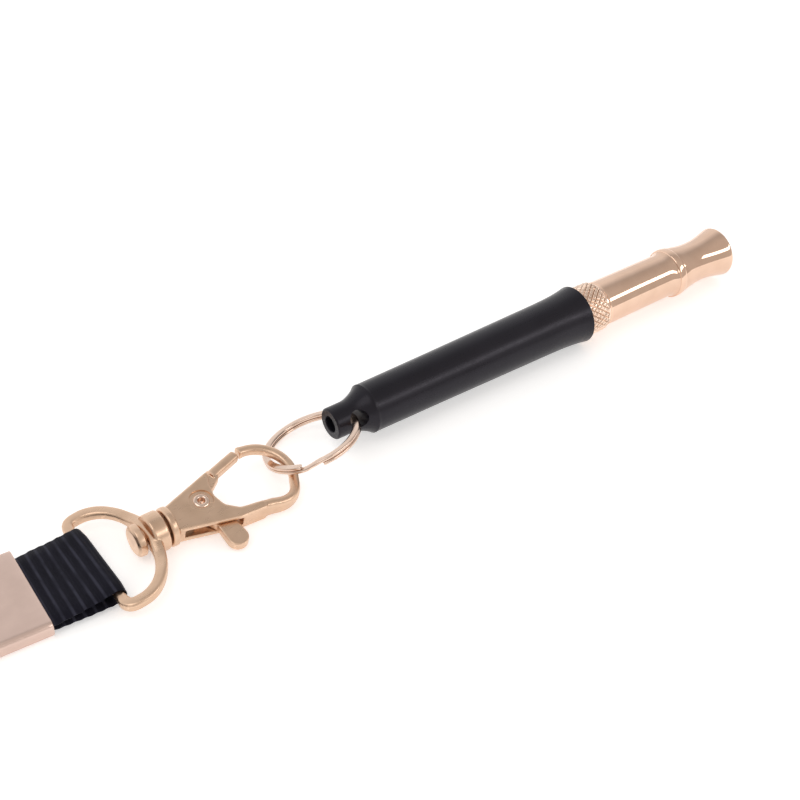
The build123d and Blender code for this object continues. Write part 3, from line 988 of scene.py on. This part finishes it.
def lever():
    """The sprung gate and its rounded thumb tab, one casting on the rivet."""
    place = scaled(CLASP)
    half = 0.72
    arm = rounded([(10.4, 0.3, 0.3), (10.6, 2.1, 0.6), (13.0, 3.9, 0.4), (12.9, 5.6, 0.3),
                   (11.9, 5.2, 0.3), (6.3, 2.2, 0.5), (6.3, 0.3, 0.3)], 4)
    leg = rounded([(6.4, -0.6, 0.3), (8.3, -3.6, 0.8), (8.35, -6.55, 0.3), (11.65, -6.55, 0.3),
                   (11.3, -3.8, 0.8), (9.6, -0.6, 0.3)], 4)
    tail = [(5.7, -1.6), (8.0, -2.3), (8.0, 0.2), (5.7, -0.2)]
    hub = arc(RIVET[:2], 2.1, 0, 360, 40)[:-1]
    tab = arc((10.0, -6.55), 1.65, 0, 360, 40)[:-1]
    solids = [prism(shape, -half, half, 0.18, place) for shape in (arm, leg, tail, hub, tab)]
    gate_root, gate_tip = Vector((12.0, 4.82, 0)), Vector((17.48, 6.64, 0))
    along = (gate_tip - gate_root).normalized()
    side = Vector((along.y, -along.x, 0))
    path = [gate_root.lerp(gate_tip, t) for t in (0, 0.06, 0.5, 0.96, 1)]
    sizes = [(0.95, 1.15), (0.84, 0.88), (0.84, 0.86), (0.82, 0.84), (0.70, 0.72)]
    sections = [superellipse(w, h, 3.6, 24) for w, h in sizes]
    solids.append(swept(path, [side] * len(path), sections, place))
    piece = joined("gate_lever", solids)
    cast(piece, 0.10, 4)
    carved(piece, turned("rivet_bore", [(-3, 0), (-3, 0.92), (3, 0.92), (3, 0)], on_rivet(), 40))
    shade(piece, 50)
    finish_piece(piece, "gate", "cast_zinc", CAST, "clasp_lever")


def split_ring():
    """Two turns of flat wire that cross over at one place."""
    outer, wide, thick = 8.0, 1.15, 0.6
    ramp_at, ramp = 238.0, 26.0
    start = ramp_at + ramp / 2
    sweep = 720 - ramp
    steps = 300
    centre_r = outer - wide / 2
    path, sides, sections = [], [], []
    for i in range(steps + 1):
        turn = sweep * i / steps
        rise = eased(turn, 360 - ramp, 360)
        angle = math.radians(start + turn)
        outward = Vector((math.cos(angle), math.sin(angle), 0))
        path.append(outward * centre_r + Vector((0, 0, thick * (rise - 0.5))))
        sides.append(outward)
        end = min(i, steps - i)
        cut = 0.86 if end == 0 else 1.0
        sections.append(superellipse(wide / 2 * cut, (thick / 2 - 0.01) * cut, 3.4, 20))
    points, faces = swept(path, sides, sections, scaled(RING))
    ring = new_piece("split_ring_wire", points, faces, 60)
    finish_piece(ring, "key_ring", "steel_wire", WIRE, "split_ring")


# ---- the whistle ---------------------------------------------------------------------------


def cover():
    """The moulded cover: recessed nose, flare, shoulder, slow taper and flared mouth."""
    flare = [(3.1, 2.62), (3.8, 2.72), (4.5, 2.93), (5.1, 3.17), (5.7, 3.46), (6.2, 3.77),
             (6.5, 3.98)]
    mouth = [(43.0, 4.42), (45.4, 4.485), (47.4, 4.60), (49.0, 4.77), (50.2, 4.97)]
    outside = [(0.06, 2.45), (0.22, 2.60), (0.5, 2.62)] + flare
    outside += [(6.58, 4.07), (6.66, 4.085), (6.76, 4.07), (6.85, 4.045), (7.2, 4.04)]
    outside += [(20.0, 4.15), (33.0, 4.30)] + mouth
    rim = [(50.33, 4.99), (50.4, 4.93), (50.4, 4.56), (50.28, 4.48), (49.35, 4.46), (49.3, 4.40)]
    bore = [(49.3, 3.36), (49.15, 3.3), (8.35, 3.3), (8.2, 3.15), (8.2, 0.0)]
    nose = [(0.72, 0.0), (0.72, 0.44), (0.8, 0.55), (1.3, 0.58), (1.3, 1.18), (1.22, 1.30),
            (0.12, 1.35), (0.0, 1.44), (0.0, 2.36)]
    place = scaled(WHISTLE)
    shell = turned("cover_shell", nose + outside + rim + bore, place, 160, smooth_angle=32)
    hole = joint_place("cover_swing") / MM
    turn = ALONG_X.rotation_difference(joint_axis("cover_swing")).to_matrix().to_4x4()
    drill = Matrix.Scale(MM, 4) @ Matrix.Translation(hole) @ turn
    reach, hole_r = 5, 1.52
    bar = [(-reach, 0), (-reach, hole_r), (reach, hole_r), (reach, 0)]
    cutter = turned("ring_hole", bar, drill, 72)
    carved(shell, cutter)
    shade(shell, 32)
    finish_piece(shell, "cover", "cover_plastic", PLASTIC, "protective_cover")


def mouthpiece():
    """The turned mouthpiece: barrel, collar bead, waist and everted lip, bored through."""
    outside = [(55.15, 3.62), (55.42, 3.93), (55.7, 3.95), (62.0, 3.92), (69.6, 3.88),
               (70.3, 3.89), (70.75, 3.95), (71.05, 4.06), (71.22, 4.16), (71.30, 4.17),
               (71.34, 4.30), (71.46, 4.39), (71.7, 4.43), (72.35, 4.43), (72.6, 4.39),
               (72.72, 4.30), (72.76, 4.19), (73.0, 4.185), (73.5, 4.15), (74.1, 4.06),
               (74.7, 3.955), (75.5, 3.83), (76.5, 3.71), (77.4, 3.645), (78.3, 3.62),
               (79.2, 3.645), (80.2, 3.73), (81.1, 3.87), (81.9, 4.03), (82.6, 4.18),
               (83.2, 4.32), (83.55, 4.40)]
    lip = [(83.75, 4.42), (83.92, 4.36), (84.0, 4.2), (83.96, 3.9), (83.8, 3.5), (83.55, 3.2)]
    throat = [(83.2, 2.95), (82.6, 2.66), (81.8, 2.38), (80.6, 2.12), (79.4, 1.98), (78.3, 1.9)]
    inside = [(62.6, 1.9), (62.6, 2.9), (57.75, 2.9), (57.75, 3.5), (57.05, 3.5), (57.05, 2.9),
              (55.15, 2.9)]
    piece = turned("mouthpiece_turned", outside + lip + throat + inside, scaled(WHISTLE), 160,
                   closed=True, smooth_angle=35)
    finish_piece(piece, "mouthpiece", "nickel", NICKEL, "mouthpiece")


def lock_nut():
    """The knurled nut: two sets of crossing grooves leave diamond points."""
    low, high = 49.72, 54.78
    crest_highlight, depth = 4.36, 0.27
    starts = 28
    lead = TURN * crest_highlight / starts
    segments, stations = starts * 14, 60
    rings = []
    place = scaled(WHISTLE)
    bevel = 0.38
    for i in range(stations + 1):
        x = low + (high - low) * i / stations
        edge = min(x - low, high - x)
        cap = crest_highlight - max(0.0, bevel - edge) * 0.9
        ring = []
        for j in range(segments):
            angle = TURN * j / segments
            around = angle * crest_highlight / lead
            slope = (x - low) / lead * 0.82
            first = abs(math.sin(math.pi * (around + slope)))
            second = abs(math.sin(math.pi * (around - slope)))
            radius = crest_highlight - depth * (1 - min(1.0, 1.35 * min(first, second)) ** 0.8)
            radius = min(radius, cap)
            ring.append(place @ Vector((x, radius * math.cos(angle), radius * math.sin(angle))))
        rings.append(ring)
    chamfer, bore = 3.75, 2.9
    for x, radius in ((high, chamfer), (high, bore), (low, bore), (low, chamfer)):
        rings.append(ring_points(x, radius, place, segments))
    points, faces = skin(rings, closed=True)
    nut = new_piece("lock_nut_knurled", points, faces, 30)
    finish_piece(nut, "lock_nut", "nickel", KNURL, "lock_nut")


# ---- carried-over CAD pieces ---------------------------------------------------------------


def dress(node, material):
    piece = frame["nodes"][node]
    piece.data.materials.clear()
    piece.data.materials.append(material)


# ---- stage, light and camera ---------------------------------------------------------------


def stage():
    bpy.ops.mesh.primitive_plane_add(size=6.0, location=(0, 0, 0))
    floor = bpy.context.object
    floor.name = "table"
    floor.data.materials.append(floor_material())


def lamp(name, place, aim, size, power):
    data = bpy.data.lights.new(name, "AREA")
    data.shape = "RECTANGLE"
    data.size, data.size_y = size
    data.energy = power
    light = bpy.data.objects.new(name, data)
    light.location = place
    light.rotation_euler = (Vector(aim) - Vector(place)).to_track_quat("-Z", "Y").to_euler()
    bpy.context.scene.collection.objects.link(light)


def lights():
    """A room that brightens towards the white wall at the back, and two softboxes."""
    world = bpy.data.worlds.new("studio")
    world.use_nodes = True
    nodes, links = world.node_tree.nodes, world.node_tree.links
    direction = nodes.new("ShaderNodeTexCoord").outputs["Generated"]
    facing = nodes.new("ShaderNodeVectorMath")
    facing.operation = "DOT_PRODUCT"
    facing.inputs[1].default_value = (0.0, 0.9, -0.25)
    links.new(direction, facing.inputs[0])
    place = nodes.new("ShaderNodeMapRange")
    place.inputs["From Min"].default_value = -1.0
    place.inputs["From Max"].default_value = 1.0
    links.new(facing.outputs["Value"], place.inputs["Value"])
    ramp = nodes.new("ShaderNodeValToRGB")
    stops = [(-0.5, (0.66, 0.63, 0.60)), (-0.15, (0.56, 0.54, 0.52)), (0.0, (0.54, 0.53, 0.52)),
             (0.1, (0.62, 0.62, 0.62)), (0.23, (0.77, 0.77, 0.77)), (0.4, (0.95, 0.95, 0.95)),
             (1.0, (1.0, 1.0, 1.0))]
    fill_ramp(ramp, [((value + 1) / 2, colour) for value, colour in stops])
    links.new(place.outputs["Result"], ramp.inputs["Fac"])
    links.new(ramp.outputs["Color"], nodes["Background"].inputs["Color"])
    nodes["Background"].inputs["Strength"].default_value = 1.0
    bpy.context.scene.world = world
    lamp("overhead_softbox", (-0.35, -0.05, 0.75), (0, 0, 0), (0.5, 0.5), 1.0)
    lamp("streak_softbox", (0.26, -0.40, 0.29), (0.02, 0, 0), (0.45, 0.10), 0.5)


def camera():
    right = Vector((0.8088, -0.5879, 0.0154)).normalized()
    back = Vector((-0.4606, -0.6169, 0.6382))
    back = (back - right * back.dot(right)).normalized()
    up = back.cross(right)
    data = bpy.data.cameras.new("camera")
    data.sensor_width = 36.0
    data.lens = 67.58
    data.clip_start = 0.01
    view = bpy.data.objects.new("camera", data)
    view.matrix_world = basis(Vector((-0.10573, -0.14506, 0.15690)), right, up, back)
    bpy.context.scene.collection.objects.link(view)
    bpy.context.scene.camera = view


camera()
neck_strap()
webbing_tab()
crimp()
d_ring()
pin()
clasp_body()
rivet()
lever()
split_ring()
cover()
mouthpiece()
lock_nut()
for node_name in ("sound_tube", "nozzle_core", "tuning_piston", "rear_nut"):
    dress(node_name, BRASS)
for node_name in ("cover_grip_ring", "piston_seal", "stem_seal"):
    dress(node_name, RUBBER)
for node_name in ("rear_washer", "lever_spring"):
    dress(node_name, STEEL)
dress("lock_washer", WIRE)
stage()
lights()
bpy.context.scene.view_settings.view_transform = "Standard"
